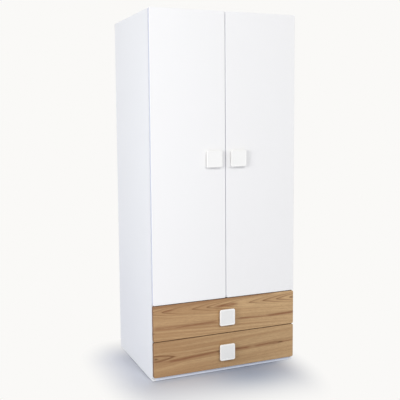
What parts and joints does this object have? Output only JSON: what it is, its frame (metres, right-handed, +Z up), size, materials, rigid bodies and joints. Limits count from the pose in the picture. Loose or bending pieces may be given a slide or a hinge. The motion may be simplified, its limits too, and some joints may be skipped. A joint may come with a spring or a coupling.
{
  "type": "wardrobe with doors and drawers",
  "caption": "Tall white wardrobe with hinged doors over wide wood-look drawers, square knobs, hat shelf and hanging rail inside.",
  "frame": {"origin": "on the floor, in the middle of the width and of the depth with the knobs", "axes": "+X to the wardrobe's right seen from the front, +Y to the back, +Z up; the doors and drawers face -Y"},
  "size_m": [0.8, 0.618, 1.85],
  "materials": {
    "white_board": "white melamine-faced chipboard, fine satin",
    "white_front": "white satin foil on board",
    "oak_front": "horizontal oak grain, matt",
    "drawer_board": "white melamine-faced board",
    "back_sheet": "hardboard, white lacquer on its inner face",
    "white_plastic": "extruded, white",
    "knob_white": "white, satin gloss",
    "nickel": "nickel plated",
    "chrome_tube": "polished chrome",
    "bracket_zinc": "zinc plated",
    "white_steel": "white epoxy coat",
    "roller_nylon": "natural nylon",
    "screw_zinc": "bright zinc",
    "cam_zinc": "die-cast zinc",
    "pin_steel": "nickel plated",
    "beech": "fluted beech",
    "glide_plastic": "grey polyethylene",
    "bumper_clear": "clear silicone"
  },
  "bodies": {
    "case": {"side_panel_left": "white_board", "side_panel_right": "white_board", "top_panel": "white_board", "bottom_panel": "white_board", "divider_shelf": "white_board", "hat_shelf": "white_board", "rear_rail": "white_board", "back_panel_upper": "back_sheet", "back_panel_lower": "back_sheet", "back_panel_joiner": "white_plastic", "floor_glides": "glide_plastic", "cam_housings": "cam_zinc", "cam_bolts": "cam_zinc", "wood_dowels": "beech", "shelf_pins": "pin_steel", "case_screws": "screw_zinc", "hanging_rail": "chrome_tube", "rail_brackets": "bracket_zinc", "wall_brackets": "bracket_zinc", "door_bumpers": "bumper_clear", "hinge_plates": "nickel", "hinge_arms": "nickel", "runner_channels": "white_steel"},
    "left_door": {"door_left": "white_front", "hinge_cups_left": "nickel", "hinge_pins_left": "nickel", "hinge_cup_screws_left": "screw_zinc", "door_knob_left": "knob_white", "door_knob_screws_left": "screw_zinc"},
    "right_door": {"door_right": "white_front", "hinge_cups_right": "nickel", "hinge_pins_right": "nickel", "hinge_cup_screws_right": "screw_zinc", "door_knob_right": "knob_white", "door_knob_screws_right": "screw_zinc"},
    "upper_drawer": {"upper_drawer_front": "oak_front", "upper_drawer_side_left": "drawer_board", "upper_drawer_side_right": "drawer_board", "upper_drawer_back": "drawer_board", "upper_drawer_bottom": "back_sheet", "upper_drawer_cam_fittings": "cam_zinc", "upper_drawer_screws": "screw_zinc", "upper_drawer_runner_profiles": "white_steel", "upper_drawer_knob": "knob_white", "upper_drawer_knob_screws": "screw_zinc"},
    "lower_drawer": {"lower_drawer_front": "oak_front", "lower_drawer_side_left": "drawer_board", "lower_drawer_side_right": "drawer_board", "lower_drawer_back": "drawer_board", "lower_drawer_bottom": "back_sheet", "lower_drawer_cam_fittings": "cam_zinc", "lower_drawer_screws": "screw_zinc", "lower_drawer_runner_profiles": "white_steel", "lower_drawer_knob": "knob_white", "lower_drawer_knob_screws": "screw_zinc"},
    "upper_front_rollers": {"upper_drawer_front_rollers": "roller_nylon"},
    "upper_rear_rollers": {"upper_drawer_rear_rollers": "roller_nylon"},
    "lower_front_rollers": {"lower_drawer_front_rollers": "roller_nylon"},
    "lower_rear_rollers": {"lower_drawer_rear_rollers": "roller_nylon"}
  },
  "joints": [
    {"name": "left_door_hinge", "type": "hinge", "parent": "case", "child": "left_door", "pos_m": [-0.3918, -0.282, 1.1225], "axis": [0, 0, -1], "range_deg": [0, 95]},
    {"name": "right_door_hinge", "type": "hinge", "parent": "case", "child": "right_door", "pos_m": [0.3918, -0.282, 1.1225], "axis": [0, 0, 1], "range_deg": [0, 95]},
    {"name": "upper_drawer_slide", "type": "slide", "parent": "case", "child": "upper_drawer", "axis": [0, -1, 0], "range_m": [0, 0.4]},
    {"name": "upper_front_roller_spin", "type": "hinge", "parent": "case", "child": "upper_front_rollers", "pos_m": [0, -0.2525, 0.239], "axis": [1, 0, 0], "range_deg": [0, 1910]},
    {"name": "upper_rear_roller_spin", "type": "hinge", "parent": "upper_drawer", "child": "upper_rear_rollers", "pos_m": [0, 0.2135, 0.2375], "axis": [1, 0, 0], "range_deg": [0, 2084]},
    {"name": "lower_drawer_slide", "type": "slide", "parent": "case", "child": "lower_drawer", "axis": [0, -1, 0], "range_m": [0, 0.4]},
    {"name": "lower_front_roller_spin", "type": "hinge", "parent": "case", "child": "lower_front_rollers", "pos_m": [0, -0.2525, 0.054], "axis": [1, 0, 0], "range_deg": [0, 1910]},
    {"name": "lower_rear_roller_spin", "type": "hinge", "parent": "lower_drawer", "child": "lower_rear_rollers", "pos_m": [0, 0.2135, 0.0525], "axis": [1, 0, 0], "range_deg": [0, 2084]}
  ],
  "couplings": [
    {"joint": "upper_front_roller_spin", "follows": "upper_drawer_slide", "rad_per_m": 83.333},
    {"joint": "upper_rear_roller_spin", "follows": "upper_drawer_slide", "rad_per_m": 90.909},
    {"joint": "lower_front_roller_spin", "follows": "lower_drawer_slide", "rad_per_m": 83.333},
    {"joint": "lower_rear_roller_spin", "follows": "lower_drawer_slide", "rad_per_m": 90.909}
  ]
}
